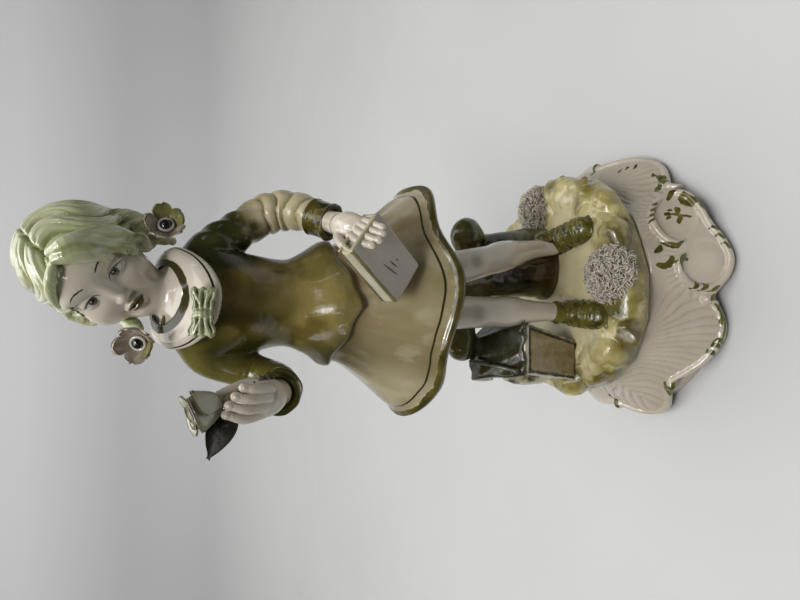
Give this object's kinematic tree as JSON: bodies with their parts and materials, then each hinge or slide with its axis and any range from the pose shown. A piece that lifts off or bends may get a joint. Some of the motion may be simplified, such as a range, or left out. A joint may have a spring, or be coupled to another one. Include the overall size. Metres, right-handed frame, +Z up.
{
  "type": "porcelain figurine",
  "caption": "Glazed porcelain figurine of a girl with a rose and a book, standing by a tree stump and a satchel on an oval scrolled plinth.",
  "frame": {"origin": "middle of the plinth's footprint, on the surface it stands on", "axes": "+Z up along the figure, she faces -Y, +X towards her left hand"},
  "size_m": [0.1598, 0.1493, 0.3321],
  "materials": {
    "plinth_white": "glossy clear glaze over warm white porcelain, olive touches on the scrolls",
    "ground_glaze": "glossy cream-yellow glaze with olive brushed edges",
    "stump_glaze": "glossy brown-olive bark glaze",
    "satchel_glaze": "glossy brown and cream glaze",
    "flap_glaze": "glossy dark grey-green glaze",
    "skin_porcelain": "glossy clear glaze over white porcelain",
    "shoe_glaze": "glossy olive glaze",
    "skirt_glaze": "glossy cream glaze with brown washes and an olive hem",
    "jacket_glaze": "glossy mottled olive glaze",
    "forearm_glaze": "glossy cream glaze, olive in the folds",
    "cuff_glaze": "glossy dark olive glaze",
    "collar_white": "glossy white glaze with dark olive lines",
    "bow_glaze": "glossy pale green glaze",
    "hair_glaze": "glossy cream glaze with pale green in the grooves",
    "petal_glaze": "glossy pinkish cream glaze, some petals olive",
    "cup_white": "glossy white glaze",
    "eye_black": "glossy black enamel",
    "rose_cream": "glossy cream glaze, olive on the petal edges",
    "leaf_glaze": "glossy olive-brown glaze",
    "cover_white": "glossy lilac-white glaze with olive edge lines",
    "page_cream": "glossy cream glaze",
    "tuft_bisque": "matt unglazed strands"
  },
  "bodies": {
    "root": {"base": "plinth_white", "ground_mound": "ground_glaze", "tree_stump": "stump_glaze", "satchel_body": "satchel_glaze", "satchel_flap": "flap_glaze", "right_leg": "skin_porcelain", "left_leg": "skin_porcelain", "right_shoe": "shoe_glaze", "left_shoe": "shoe_glaze", "skirt": "skirt_glaze", "jacket": "jacket_glaze", "collar": "collar_white", "bow_right_loop": "bow_glaze", "bow_left_loop": "bow_glaze", "bow_knot": "bow_glaze", "head": "skin_porcelain", "hair": "hair_glaze", "right_bunch": "hair_glaze", "left_bunch": "hair_glaze", "right_flower_petals": "petal_glaze", "right_flower_cup": "cup_white", "right_flower_eye": "eye_black", "left_flower_petals": "petal_glaze", "left_flower_cup": "cup_white", "left_flower_eye": "eye_black", "right_sleeve": "jacket_glaze", "right_cuff": "cuff_glaze", "right_hand": "skin_porcelain", "left_sleeve": "jacket_glaze", "left_forearm_sleeve": "forearm_glaze", "left_cuff": "cuff_glaze", "left_hand": "skin_porcelain", "book_cover": "cover_white", "book_pages": "page_cream", "rose_stem": "leaf_glaze", "rose_heart": "rose_cream", "rose_petals": "rose_cream", "rose_leaf": "leaf_glaze", "front_tuft": "tuft_bisque", "back_tuft": "tuft_bisque"}
  },
  "joints": []
}
